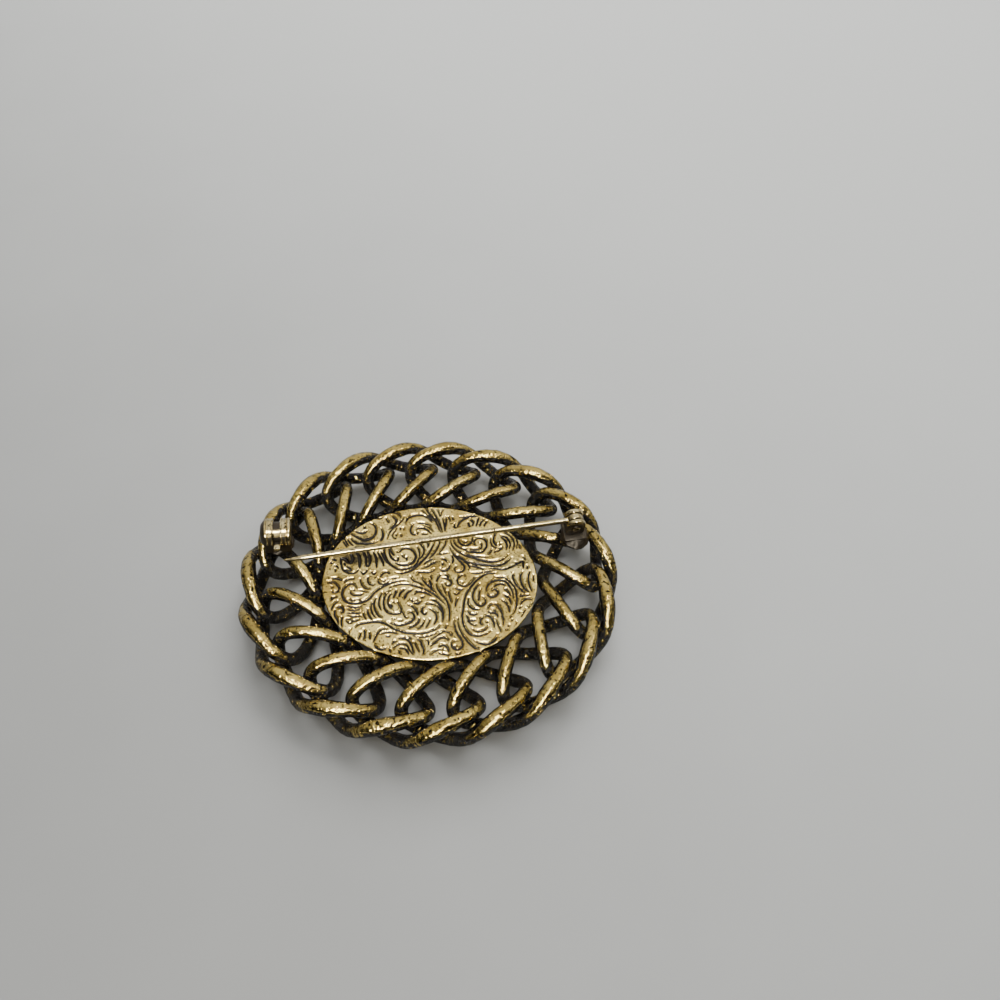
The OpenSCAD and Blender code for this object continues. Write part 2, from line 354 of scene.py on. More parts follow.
# %% Link line
LINK_COUNT = 19
PATH_X, PATH_Y = 24.1, 19.8
CHAIN_PHASE, CHAIN_HEIGHT = 0.413, 3.9713
SHIFT = np.array([-0.104, 0.087, 0.0])
LINK_A, LINK_B, LINK_TWIST, LINK_DISH, LINK_LEAN = 8.5, 5.85, math.radians(100), 0.113, math.radians(1.5)
END_FULLNESS, END_SHEAR, SIDE_FULLNESS = 0.98, -0.15, 0.3


def link_line(t):
    """Middle line of a link, in millimetres: x along the chain, y outwards, z up."""
    x = LINK_A * np.cos(t) + END_FULLNESS * np.cos(3 * t) + END_SHEAR * np.sin(3 * t)
    y = LINK_B * np.sin(t) + SIDE_FULLNESS * np.sin(3 * t)
    twist = LINK_TWIST * np.cos(t) / 2
    y, z = y * np.cos(twist), -y * np.sin(twist)
    c, s = math.cos(LINK_LEAN), math.sin(LINK_LEAN)
    x, y = x * c - y * s, x * s + y * c
    return np.stack([x, y, z + LINK_DISH * y], 1)


def chain_frames():
    """Place and direction of each link on the oval, evenly spaced, clockwise from the top."""
    angle = np.radians(np.arange(0, 361))
    oval = np.stack([PATH_X * np.cos(angle), PATH_Y * np.sin(angle)], 1)
    run = np.concatenate([[0], np.cumsum(np.linalg.norm(np.diff(oval, axis=0), axis=1))])
    wanted = (run[-1] / 4 + (CHAIN_PHASE - np.arange(LINK_COUNT)) * run[-1] / LINK_COUNT) % run[-1]
    frames = []
    for a in np.interp(wanted, run, angle):
        along = np.array([PATH_X * math.sin(a), -PATH_Y * math.cos(a), 0])
        along /= np.linalg.norm(along)
        outward = np.array([-along[1], along[0], 0])
        middle = np.array([PATH_X * math.cos(a), PATH_Y * math.sin(a), CHAIN_HEIGHT]) + SHIFT
        frames.append((middle, along, outward))
    return frames


links = chain_frames()
print("links:", len(links), "first at", links[0][0].round(2))

# %% [markdown]
# ## Link wire
# A torus is a wire closed into a ring. Its rings of points are laid along the link's middle line, as a
# jeweller bends wire round a former, and each ring stays square to that line. The wire swells a little
# where a link's outer side shows on top of the border.

# %% Link wire
RINGS, SIDES, FORMER = 256, 20, 8 * MM
WIRE_RADIUS, SWELL, SWELL_AT, SWELL_WIDTH = 1.02, 0.19, 124, 17


def bend_wire():
    """A torus whose rings of points are laid along the link's middle line."""
    torus = bpy.ops.mesh.primitive_torus_add
    bent = start_from(torus, major_segments=RINGS, minor_segments=SIDES, major_radius=FORMER, minor_radius=MM)
    start = points_of(bent)
    turn = np.arctan2(start[:, 1], start[:, 0])
    around = np.arctan2(start[:, 2], np.hypot(start[:, 0], start[:, 1]) - FORMER)
    middle = link_line(turn)
    along = link_line(turn + 0.01) - link_line(turn - 0.01)
    along /= np.linalg.norm(along, axis=1)[:, None]
    out = middle - (middle * along).sum(1)[:, None] * along
    out /= np.linalg.norm(out, axis=1)[:, None]
    skin = np.cos(around)[:, None] * out + np.sin(around)[:, None] * np.cross(along, out)
    radius = WIRE_RADIUS + SWELL * np.exp(-(((np.degrees(turn) % 360) - SWELL_AT) / SWELL_WIDTH) ** 2)
    move_points(bent, (middle + radius[:, None] * skin) * MM)
    turn_faces_out()
    bpy.ops.object.shade_smooth()
    return bent


wire = bend_wire()
print("wire faces:", len(wire.data.polygons), "size in mm:", [round(v / MM, 1) for v in wire.dimensions])

# %% [markdown]
# ## The border
# The same wire is copied 19 times, each copy with its own mesh, and laid on the oval. Each link passes
# through the next two. Then each is hammered: shallow dents are pressed into the skin at random. The crests
# and the feet are rubbed bright, and less so around the soldered feet of the fittings. Where two wires come
# close, and under the plate, the gold is darkened as well: partly wash left in the hollows, partly painted
# shade. The wash is left everywhere else.

# %% Hammering, rubbing and painted shade
DENT_SIZE, FINE_SIZE = 1.1 * MM, 0.42 * MM
CREST_TILT, CREST_HEIGHT, FOOT_TILT, FOOT_HEIGHT = (0.5, 0.9), (2.9, 5.0), (0.2, 0.62), (4.6, 3.0)
NEAR_WIRE, NEAR_SOLDER = (1.3, 2.6), (3.3, 2.1)
SHADED_BY_PLATE = np.array([17.4, 13.4]) * MM
FITTING_FEET = np.array([(23.0, 7.0, 7.0), (-24.4, 3.0, 7.3)]) * MM
line = link_line(np.linspace(0, 2 * np.pi, 120, endpoint=False))
middle_lines = np.array([place + line @ np.array([along, out, (0, 0, 1)]) for place, along, out in links])


def gap_to_others(k, points):
    """How far each point is from the middle line of any other link, in millimetres."""
    others = np.delete(middle_lines, k, axis=0).reshape(-1, 3) * MM
    tree = kdtree.KDTree(len(others))
    for i, p in enumerate(others):
        tree.insert(p, i)
    tree.balance()
    return np.array([tree.find(p)[2] for p in points]) / MM


def lay_link(k):
    """A copy of the wire, laid at its place on the oval."""
    link = wire.copy()
    link.data = wire.data.copy()
    bpy.context.scene.collection.objects.link(link)
    middle, along, outward = links[k]
    columns = Matrix((along, outward, (0, 0, 1))).transposed().to_4x4()
    link.data.transform(Matrix.Translation(Vector(middle) * MM) @ columns)
    return link


def hammer_rub_and_paint_shade(link, k):
    """Presses dents into the skin, and writes how far the wash is rubbed off, darkened by painted shade
    between wires and under the plate.
    """
    points, facing = points_of(link), normals_of(link)
    dents, fine = grainy(points, DENT_SIZE, k + 1), grainy(points, FINE_SIZE, k + 40)
    pressed = np.minimum(dents, 0.1) * 0.1 + fine * 0.025
    points += facing * (pressed * MM)[:, None]
    points[:, 2] = np.maximum(points[:, 2], 0)
    move_points(link, points)
    # Painted shade: the gold is dimmed close to other wires and under the plate, partly as wash left in the
    # hollows.
    clear_of_wash_and_shade = eased(gap_to_others(k, points + facing * 1.1 * MM), *NEAR_WIRE)
    core = points[:, 2] / MM - 1.05 * facing[:, 2]
    crest = eased(facing[:, 2], *CREST_TILT) * eased(core, *CREST_HEIGHT)
    foot = eased(-facing[:, 2], *FOOT_TILT) * eased(core, *FOOT_HEIGHT)
    painted_plate_shade = eased(1.12 - np.linalg.norm(points[:, :2] / SHADED_BY_PLATE, axis=1), 0, 0.12)
    to_solder = np.min([np.linalg.norm(points - place, axis=1) for place in FITTING_FEET], axis=0) / MM
    wear_and_painted_light = np.maximum(crest, foot) * (0.25 + 0.75 * clear_of_wash_and_shade) * (1 - 0.7 * painted_plate_shade)
    wear_and_painted_light *= 1 - 0.85 * eased(to_solder, *NEAR_SOLDER)
    write_wear_and_painted_light(link, wear_and_painted_light + 0.6 * np.clip(pressed, -0.12, 0.06))


print("middle lines:", middle_lines.shape)

# %% Border of links
for k in range(LINK_COUNT):
    link = lay_link(k)
    hammer_rub_and_paint_shade(link, k)
    node = f"link_{k + 1:02d}"
    finish_piece(link, "wire_" + node, node, material=wire_gold, slot="wire_metal")
bpy.data.objects.remove(wire)

# %% [markdown]
# ## Scroll plate: the strokes
# The plate is thin brass, pressed in a die with traditional leafy scrolls. The scrolls could be a bump in
# the finish, but real grooves catch the light from every side. Each groove is drawn as a brush stroke: its
# greatest width in hundredths of a millimetre, then the places that it runs through, each as x,y in tenths
# of a millimetre.

# %% Groove strokes
STROKES = [
    # Upper left
    (36, -139,74, -125,67, -113,63, -103,67, -97,76, -98,87, -103,93, -109,95),
    (30, -132,79, -123,76, -117,76, -111,81), (30, -118,87, -115,85), (20, -123,56, -113,56, -102,57, -92,61),
    (24, -89,86, -86,79, -85,70, -88,63), (20, -87,84, -83,75, -84,66, -87,62),
    (20, -103,108, -96,105, -89,106), (28, -83,106, -80,101, -76,97),
    (34, -74,111, -68,106, -64,101, -66,95, -71,89, -75,84),
    (20, -89,114, -79,117, -71,117, -63,115, -59,110, -58,106),
    (26, -51,109, -55,102, -61,95, -69,86, -74,77, -77,66), (22, -63,86, -68,75, -66,69, -62,67),
    (26, -56,88, -56,84), (26, -51,88, -50,84), (28, -55,74, -53,72), (22, -62,76, -62,72),
    (26, -149,66, -144,59, -139,52), (26, -143,65, -138,58, -131,52), (24, -138,66, -132,60, -125,55),
    (22, -149,60, -145,54, -141,50), (20, -131,62, -127,58, -122,55),
    # Upper middle
    (34, -48,95, -48,101, -44,108, -36,112, -26,114, -17,112, -9,107, -3,100),
    (30, -30,99, -19,98, -11,96, -6,94), (20, -19,94, -12,92, -6,88, -1,82),
    (34, -25,81, -28,77, -33,76, -38,80, -39,87, -37,93, -34,97), (34, -30,86, -23,89, -15,88, -8,83, -3,78),
    (28, -20,77, -15,78, -9,78), (24, -24,123, -15,116, -7,109, -1,102), (28, -16,124, -8,114, 0,107, 4,100),
    (32, -19,130, -11,119, -2,109, 5,97, 10,86, 13,82), (30, -8,127, 0,115, 8,100, 13,88, 15,82),
    (24, 2,126, 6,120, 9,112), (28, 13,110, 16,100, 18,92, 19,84), (22, 19,112, 20,102, 20,92),
    (20, 14,126, 11,120, 10,113), (24, 23,113, 25,108, 27,104), (22, 30,112, 31,106),
    (24, 35,98, 34,93, 38,91), (34, 3,69, 2,60, -2,49, -7,38, -17,25, -27,14, -37,8, -48,5, -58,6),
    (28, 12,69, 11,60, 7,49, 2,40, -4,33), (28, 22,69, 21,59, 16,49, 12,42), (22, -5,66, -6,58, -8,52),
    (24, -12,65, -8,59, -8,52), (34, -29,60, -22,60, -16,54, -13,47, -15,38, -19,31),
    (30, -26,54, -22,48, -20,41, -20,35),
    (40, -58,42, -53,44, -50,48, -44,50, -36,49, -30,44, -26,37, -27,29, -32,23, -40,20, -50,20, -59,23),
    (30, -41,34, -40,28), (28, -50,38, -43,32), (26, -55,33, -54,27),
    (34, -20,35, -24,22, -34,15, -44,12, -52,12, -60,16, -70,23, -76,32, -78,43),
    (30, -70,49, -66,42, -61,36), (26, -72,49, -69,38, -62,29, -54,26), (30, -79,50, -78,39, -72,27, -63,18),
    # Left
    (36, -124,40, -118,31, -116,21, -116,12), (26, -114,42, -108,32, -106,22, -104,14),
    (34, -106,43, -102,33, -100,22, -102,14), (26, -97,42, -91,32, -89,22, -88,13),
    (24, -90,42, -84,33, -79,24, -77,16), (20, -84,42, -78,32, -72,23), (26, -113,7, -109,2, -105,4, -102,10),
    (24, -96,6, -91,2, -88,6), (30, -149,28, -146,17, -142,8, -133,3, -122,3, -116,10),
    (40, -148,28, -140,26, -135,20), (36, -134,37, -129,30, -129,23, -132,19), (26, -137,14, -131,11, -128,8),
    (26, -139,9, -133,7, -127,8), (22, -142,20, -139,15), (26, -162,26, -155,24), (30, -165,20, -160,19),
    (22, -158,15, -153,14, -150,10), (24, -155,9, -154,4), (30, -158,-8, -149,-8, -141,-11),
    (26, -159,-12, -150,-17, -144,-24, -145,-30, -151,-32, -156,-30), (22, -156,-25, -155,-22),
    (20, -163,-13, -156,-17), (30, -65,3, -71,6, -77,3, -80,-3),
    (28, -83,-5, -82,-12, -76,-15, -69,-13, -65,-9), (22, -78,-9, -73,-10, -69,-7),
    (20, -64,-5, -58,-5, -50,-3), (24, -122,-7, -131,-9, -138,-15),
    (36, -115,-25, -120,-18, -126,-16, -133,-21, -138,-30, -136,-39, -130,-46, -122,-49, -112,-49, -102,-46,
     -93,-40, -87,-31, -80,-24, -72,-18, -60,-12, -46,-8, -32,-9),
    (30, -124,-26, -124,-32, -119,-35, -111,-35, -104,-33), (22, -121,-26, -118,-28),
    (24, -126,-43, -119,-45, -111,-43, -104,-45), (22, -111,-27, -105,-28, -98,-30),
    (26, -112,-7, -109,-16, -102,-23, -94,-24), (30, -100,-3, -99,-11, -95,-16, -87,-17),
    # Centre
    (26, -23,7, -12,8, -2,8, 4,11, 7,14), (22, -15,14, -6,18, 1,23, 8,27), (22, -12,22, -5,28, 2,32),
    (24, 10,41, 18,42, 27,44), (30, 16,33, 22,32, 27,27), (30, 15,15, 19,12, 25,12, 30,16, 31,22),
    (26, 18,25, 20,21), (34, 23,5, 28,3, 31,-1), (28, 18,5, 14,-1, 11,-8),
    (32, 19,0, 27,-2, 34,-6, 35,-12, 31,-14, 26,-12, 25,-8),
    (30, 41,19, 39,15, 41,11, 48,10, 54,14, 55,20, 51,26, 44,33, 37,40, 31,49), (24, 42,20, 41,18),
    (28, 58,1, 56,4, 52,5, 47,1, 45,-4, 46,-9, 51,-13, 59,-14, 65,-10, 70,-4, 76,2), (20, 50,-8, 56,-9),
    (30, 35,25, 36,33, 33,40), (28, 65,17, 61,24, 55,30, 49,36, 42,41), (24, 41,-17, 47,-20, 56,-20),
    (24, 42,-29, 46,-28, 50,-24), (28, 48,-35, 45,-42, 44,-50), (28, -32,0, -26,-7, -16,-11, -8,-16),
    (30, -14,0, -9,-8, 0,-16, 8,-24, 13,-28), (24, -1,-4, 2,-12, 6,-18), (18, 1,3, 3,-5),
    (34, 11,-10, 14,-20, 20,-28, 28,-37, 33,-47, 36,-60, 36,-75), (26, 31,-23, 34,-33, 38,-44),
    (20, 20,-11, 25,-22, 29,-31),
    # Left medallion
    (30, -64,-22, -55,-17, -45,-14, -33,-14, -20,-17, -8,-21, 3,-26, 12,-32, 21,-40, 29,-47),
    (40, 4,-39, 12,-41, 19,-47, 24,-56, 26,-66, 26,-76), (26, -4,-48, 4,-46, 12,-48, 19,-53, 23,-60),
    (34, 3,-55, 8,-57, 14,-62, 16,-69, 15,-75, 12,-81), (30, -3,-51, -8,-55, -7,-61, -3,-64, 0,-60),
    (24, -39,-60, -34,-69, -28,-71),
    (34, -31,-64, -26,-61, -21,-64, -19,-70, -23,-76, -30,-80, -40,-83, -50,-82, -58,-79),
    (34, -31,-49, -23,-52, -17,-59, -14,-66), (32, -11,-71, -12,-77, -18,-83, -27,-88),
    (26, -3,-73, -4,-79, -9,-86, -13,-89), (26, 6,-72, 4,-79, 0,-87), (24, -44,-76, -37,-76),
    (22, -54,-75, -48,-73),
    (34, -90,-79, -72,-78, -60,-83, -50,-89, -40,-92, -30,-95, -16,-96, -3,-95, 10,-91, 19,-86, 24,-80),
    (24, -20,-99, -6,-101, 6,-99, 16,-95, 22,-90),
    (32, -49,-44, -45,-50, -41,-57, -42,-63, -49,-65, -57,-64, -64,-61, -68,-54, -70,-45, -69,-36, -65,-29,
     -59,-23), (30, -60,-30, -63,-39, -63,-47, -60,-53, -55,-57), (30, -59,-48, -56,-54),
    (20, -57,-45, -51,-47), (34, -51,-25, -53,-31, -56,-38), (34, -38,-23, -44,-28, -47,-36),
    (34, -26,-23, -33,-28, -37,-35, -38,-40), (32, -22,-32, -19,-27, -12,-26, -3,-28, 6,-33),
    (26, -12,-37, -6,-35), (34, -27,-40, -22,-45, -15,-46, -11,-42), (20, -20,-40, -15,-43),
    (30, -73,-29, -77,-38, -77,-50, -72,-60), (34, -82,-38, -85,-48, -82,-59, -76,-68, -69,-72),
    (28, -88,-46, -89,-56, -85,-66, -79,-72), (32, -94,-58, -92,-66, -88,-72, -84,-76),
    (24, -100,-64, -98,-70, -94,-75),
    # Lower
    (26, -142,-46, -148,-52, -151,-62), (32, -143,-58, -138,-56, -133,-59, -132,-64, -136,-66),
    (34, -145,-61, -144,-70, -139,-77, -136,-85), (30, -132,-73, -132,-82, -130,-89),
    (24, -155,-46, -150,-41, -145,-40), (26, -128,-53, -122,-55, -113,-56, -104,-54),
    (22, -127,-58, -120,-61, -111,-60, -103,-58), (26, -125,-67, -117,-65, -108,-66, -103,-62),
    (22, -125,-69, -118,-71, -110,-71, -101,-69), (26, -125,-77, -120,-76, -113,-79, -105,-76),
    (22, -126,-78, -120,-82, -114,-81), (34, -110,-90, -104,-84, -94,-81, -83,-79, -72,-79, -63,-82, -52,-88),
    (30, -79,-113, -76,-103, -72,-95, -66,-90, -58,-90), (26, -69,-99, -63,-96, -54,-95, -42,-97),
    (30, -77,-114, -73,-120, -65,-123, -57,-120), (24, -60,-102, -54,-102), (30, -99,-97, -102,-108),
    (32, -95,-92, -93,-100, -94,-109), (32, -86,-97, -84,-107), (22, -118,-97, -116,-92),
    (34, -41,-105, -32,-104, -24,-108, -19,-116, -15,-127),
    (28, -48,-121, -44,-117, -40,-114, -32,-113, -26,-116, -21,-123, -15,-130),
    (30, -37,-121, -31,-120, -26,-123, -22,-129), (28, -37,-124, -37,-128),
    (22, -50,-115, -46,-110, -42,-110), (24, -54,-120, -50,-127), (30, -25,-101, -21,-105),
    (34, -12,-104, -6,-108, -3,-115, 0,-122, -1,-129), (28, 2,-105, 6,-108, 7,-114),
    (20, -16,-110, -11,-118, -6,-126), (34, 9,-116, 18,-107, 24,-102, 31,-101, 37,-106),
    (26, 9,-106, 18,-99, 26,-92, 32,-91, 39,-94, 42,-99), (34, 22,-117, 29,-113, 35,-116, 39,-124),
    (24, 10,-130, 16,-124, 25,-120, 34,-121), (28, 23,-126, 32,-127, 40,-129),
    (34, 50,-106, 45,-106, 42,-111, 45,-117, 52,-119, 58,-115, 59,-108, 55,-101, 50,-94, 45,-83, 43,-72),
    (26, 46,-114, 50,-115), (28, 49,-69, 51,-81, 56,-92, 63,-102, 72,-112, 80,-118),
    (24, 54,-91, 62,-100, 70,-108, 77,-114, 86,-119), (22, 49,-127, 57,-125), (22, 30,-87, 34,-81),
    # Right medallion
    (36, 108,11, 93,9, 81,1, 72,-8, 65,-19, 60,-30, 58,-41, 57,-53, 56,-66, 59,-79, 66,-91, 76,-96, 86,-96,
     95,-93, 103,-88), (32, 104,4, 112,3, 120,3, 127,-1, 133,-7, 139,-16, 141,-27, 142,-38, 140,-50, 135,-61),
    (36, 92,-24, 93,-15, 97,-8, 104,-3, 113,-2, 123,-4, 130,-12, 135,-23, 136,-34),
    (36, 93,-25, 97,-30, 103,-31, 109,-28, 111,-23, 107,-18, 102,-19, 101,-22),
    (32, 104,-15, 109,-10, 116,-8, 124,-11), (36, 120,-17, 126,-19, 130,-25, 132,-29),
    (36, 120,-27, 127,-30, 131,-36, 133,-43), (34, 117,-37, 123,-39, 128,-46, 131,-56),
    (34, 101,-44, 109,-44, 115,-51, 119,-60, 121,-71, 120,-80), (30, 83,-19, 81,-28, 82,-38),
    (36, 86,-32, 90,-34, 92,-39, 90,-44, 84,-47, 78,-44, 73,-38, 71,-30, 73,-21, 78,-13, 82,-9),
    (34, 65,-34, 64,-43, 69,-50, 76,-53, 83,-53), (34, 63,-54, 68,-61, 75,-62, 80,-60),
    (32, 62,-62, 66,-70, 72,-72, 78,-71), (28, 64,-72, 72,-78, 80,-80),
    (34, 95,-54, 99,-58, 106,-58, 111,-61, 112,-66), (26, 95,-53, 98,-47, 103,-43),
    (24, 102,-52, 107,-54, 110,-57), (38, 91,-64, 97,-63, 102,-67, 106,-74, 107,-82),
    (32, 91,-66, 86,-69, 85,-75, 89,-79), (22, 94,-74, 98,-73), (30, 72,-85, 79,-89, 87,-89, 94,-85, 98,-80),
    (32, 76,-104, 85,-108, 98,-109, 108,-103, 113,-93), (26, 109,-68, 112,-76, 116,-84, 118,-90),
    # Right edge
    (36, 135,11, 135,4, 138,-5, 145,-14, 152,-18), (38, 151,14, 147,6, 149,-6, 154,-15, 162,-21),
    (34, 163,16, 160,6, 160,-3, 163,-13, 166,-20), (26, 168,9, 168,-2), (28, 145,-29, 152,-27, 161,-26),
    (28, 147,-43, 152,-36, 160,-32, 166,-34), (20, 147,-18, 155,-22), (26, 157,-50, 153,-55, 149,-63),
    (20, 166,-42, 160,-48), (24, 146,-55, 147,-58), (24, 135,-68, 134,-71), (22, 142,-72, 141,-76),
    (20, 150,-46, 145,-50), (22, 128,-80, 131,-78), (22, 125,-86, 129,-84), (20, 135,-62, 131,-66),
    # Upper right
    (34, 106,84, 102,77, 101,69, 105,62, 111,61, 115,65), (26, 97,76, 97,66, 101,59, 108,56, 116,58),
    (32, 113,77, 120,71, 124,62, 123,53), (30, 112,80, 123,75, 129,66, 128,55),
    (28, 118,86, 130,78, 136,66, 134,52), (26, 124,90, 135,82, 141,70, 140,56),
    (34, 75,60, 70,61, 69,67, 73,72, 81,73, 88,69, 90,62, 88,54, 82,48, 72,48, 61,51),
    (28, 78,64, 82,60, 81,55, 74,52, 62,53), (24, 100,54, 97,48, 92,42), (24, 107,52, 103,47),
    (26, 117,56, 112,53, 108,49), (32, 41,76, 43,67, 49,60, 58,60, 65,66, 66,76), (30, 49,65, 58,65),
    (24, 33,70, 39,59, 49,53, 59,53), (34, 39,92, 43,102, 52,110, 63,114, 72,115),
    (26, 42,111, 55,113, 68,117), (30, 57,102, 59,97, 60,94), (30, 60,108, 66,102, 64,96),
    (32, 75,112, 73,104, 71,96), (30, 84,109, 79,103, 77,96), (26, 90,105, 86,101, 85,96),
    (30, 90,122, 96,117, 99,113), (26, 104,112, 109,109, 113,104), (30, 108,118, 114,115),
    (30, 29,69, 32,59, 39,50, 48,44, 60,39, 75,35, 90,31, 104,31, 117,35, 127,44),
    (28, 28,56, 33,46, 43,38, 55,31, 70,26, 88,24, 104,23, 120,28, 133,39), (22, 50,53, 60,48, 73,46, 84,47),
    (22, 53,46, 66,40, 80,39, 95,39), (24, 60,23, 72,21, 84,17, 90,17),
    (22, 95,18, 108,18, 121,17, 134,23, 142,28), (24, 65,9, 78,9, 90,12, 104,15),
    (34, 134,88, 140,81, 146,76), (28, 131,90, 135,85), (24, 137,30, 143,29, 150,33, 152,20),
    (22, 158,25, 159,20), (26, 150,66, 156,58, 162,50, 165,39), (20, 150,42, 155,36), (20, 143,62, 147,56),
]
print("strokes on the plate:", len(STROKES))

# %% [markdown]
# ## Scroll plate: where the grooves lie
# Each stroke is a smooth curve through its places, widest in the middle and pointed at both ends. For every
# point of the plate the distance to the nearest stroke's edge is worked out, a short run of curve at a time.

# %% Distance to the grooves
PATTERN_MIDDLE = np.array([0.07, -0.40])
CURVE_STEP, FAR_FROM_GROOVES, RUN = 0.08, 0.6, 16


def smooth_line(corners):
    """A smooth curve through the corners, sampled about every step."""
    ends = np.vstack([2 * corners[0] - corners[1], corners, 2 * corners[-1] - corners[-2]])
    runs = []
    for a, b, c, d in zip(ends, ends[1:], ends[2:], ends[3:]):
        count = max(2, int(np.linalg.norm(c - b) / CURVE_STEP))
        t = np.linspace(0, 1, count, endpoint=False)[:, None]
        cubic = (2 * a - 5 * b + 4 * c - d) * t**2 + (3 * b - a - 3 * c + d) * t**3
        runs.append(0.5 * (2 * b + (c - a) * t + cubic))
    return np.vstack(runs + [corners[-1:]])


def groove_gap(place):
    """Distance in millimetres from each point to the nearest groove's edge, negative inside a groove."""
    gap = np.full(len(place), FAR_FROM_GROOVES)
    for width, *numbers in STROKES:
        curve = smooth_line(np.array(numbers).reshape(-1, 2) / 10 - PATTERN_MIDDLE)
        half = width / 200 * np.sqrt(1 - np.abs(np.linspace(-1, 1, len(curve))) ** 3)
        for i in range(0, len(curve), RUN):
            part, reach = curve[i:i + RUN + 1], half[i:i + RUN + 1]
            near = ((place > part.min(0) - 0.8) & (place < part.max(0) + 0.8)).all(1).nonzero()[0]
            away = np.linalg.norm(place[near, None] - part[None], axis=2) - reach
            gap[near] = np.minimum(gap[near], away.min(1))
    return gap


print("gap at the plate's middle:", groove_gap(np.zeros((1, 2))).round(2), "mm")

# %% [markdown]
# ## Scroll plate: pressing the sheet
# A fine grid is drawn out into an oval. The grooves are pressed in by the distance to them, so that the
# leaves between them stay full and rounded, and the rim is rolled over. The wash stays in the grooves and
# dulls the plate in a few random patches. The plate is also painted darker at its upper left and in a band
# under the pin, which is painted shade. The sheet then gets its thickness by extruding its edge.

# %% Pressed sheet
PLATE_X, PLATE_Y, PLATE_TOP, PLATE_UNDER = 17.4, 13.36, 5.25, 4.79
PLATE_MIDDLE = np.array([-0.054, -0.133])
GROOVE_DEPTH, VALLEY_DEPTH, RIM_DROP, RIPPLE, DEEPEST = 0.15, 0.12, 0.14, 0.04, 0.3
PATINA_AND_SHADE_SHARE = 0.62
plate = start_from(bpy.ops.mesh.primitive_grid_add, x_subdivisions=324, y_subdivisions=252, size=2)
square = points_of(plate)[:, :2]
oval = square * np.sqrt(1 - square[:, ::-1] ** 2 / 2)
place = oval * (PLATE_X, PLATE_Y)
flat_place = np.column_stack([place, np.zeros(len(place))])
gap = groove_gap(place)
to_rim = (1 - np.linalg.norm(oval, axis=1)) * (PLATE_X + PLATE_Y) / 2
fall = GROOVE_DEPTH * (1 - eased(gap, -0.08, 0.12)) + VALLEY_DEPTH * (1 - eased(gap, 0, 0.32))
fall += RIM_DROP * (1 - np.sqrt(np.clip(to_rim / 0.22, 0, 1))) + RIPPLE * grainy(flat_place, 0.8, 71)
move_points(plate, np.column_stack([place + PLATE_MIDDLE, PLATE_TOP - np.clip(fall, 0, DEEPEST)]) * MM)
# Painted shade: darker towards the upper left and in a band under the pin. The blotches are random patina.
painted_shade_upper_left = eased(np.hypot(place[:, 0] + 10.5, place[:, 1] - 4.5), 6.5, 1.5)
painted_pin_shadow = eased(np.abs(place[:, 1] - 3.2), 1.6, 0.3)
blotch = eased(grainy(flat_place, 4.2, 72), 0.0, 0.45)
patina_and_painted_shade = np.clip(0.55 * (painted_shade_upper_left + 0.8 * painted_pin_shadow) + 0.5 * blotch, 0, 1)
write_wear_and_painted_light(plate, (0.05 + 0.95 * eased(gap, -0.06, 0.13)) * (1 - PATINA_AND_SHADE_SHARE * patina_and_painted_shade))
print("deepest place of the pressed sheet:", min(fall.max(), DEEPEST), "mm")

# %% Thickness of the plate
bpy.ops.object.mode_set(mode="EDIT")
bpy.ops.mesh.select_mode(type="EDGE")
bpy.ops.mesh.select_all(action="DESELECT")
bpy.ops.mesh.select_non_manifold()
bpy.ops.mesh.extrude_edges_move(TRANSFORM_OT_translate={"value": (0, 0, -0.2 * MM)})
bpy.ops.transform.resize(value=(0.997, 0.997, 0))
bpy.ops.mesh.edge_face_add()
turn_faces_out()
points = points_of(plate)
points[len(place):, 2] = PLATE_UNDER * MM
move_points(plate, points)
bpy.ops.object.shade_smooth_by_angle(angle=math.radians(50))
finish_piece(plate, "scroll_plate", "back_plate", material=plate_gold, slot="plate_metal")

# %% [markdown]
# ## Tools for the fittings
# The hinge and the catch are small turned and milled findings, bought in and soldered on. On the bench they
# would be turned on a lathe, drilled, slit and filed. The same steps are used here: a disc is extruded
# ring by ring into a turned shape, and drills and blocks are cut from it or joined to it. Each piece is
# made in millimetres at the origin, and then set down at its place.

# %% Lathe and block
def turning(degrees, axis):
    return Matrix.Rotation(math.radians(degrees), 4, axis)


PIN_SLANT = 10.330281
HINGE = Matrix.Translation((23.046, 8.587, 10.1)) @ turning(PIN_SLANT, "Z")
CATCH = (
    Matrix.Translation((-24.404, 4.537, 10.5))
    @ turning(PIN_SLANT, "Z") @ turning(10, "Y") @ turning(90, "Z") @ turning(90, "X")
)
ACROSS = turning(90, "X")


def turn_on_lathe(stations, sides=72):
    """A turned shape about z, through stations of height and radius in millimetres."""
    height, radius = stations[0]
    turned = start_from(bpy.ops.mesh.primitive_circle_add, vertices=sides, radius=radius, fill_type="NGON")
    bpy.ops.object.mode_set(mode="EDIT")
    bpy.ops.transform.translate(value=(0, 0, height))
    for next_height, next_radius in stations[1:]:
        bpy.ops.mesh.extrude_region_move(TRANSFORM_OT_translate={"value": (0, 0, next_height - height)})
        share = next_radius / radius
        bpy.ops.transform.resize(value=(share, share, 1), center_override=(0, 0, next_height))
        height, radius = next_height, next_radius
    turn_faces_out()
    return turned


def block(low, high):
    low, high = Vector(low), Vector(high)
    made = start_from(bpy.ops.mesh.primitive_cube_add, size=1, location=(low + high) / 2, scale=high - low)
    bpy.ops.object.transform_apply(location=True, rotation=False, scale=True)
    return made


print("hinge at", HINGE.translation[:], "catch at", CATCH.translation[:])

# %% Cutting, filing and setting down
def pick_up(piece):
    deselect_all()
    piece.select_set(True)
    bpy.context.view_layer.objects.active = piece


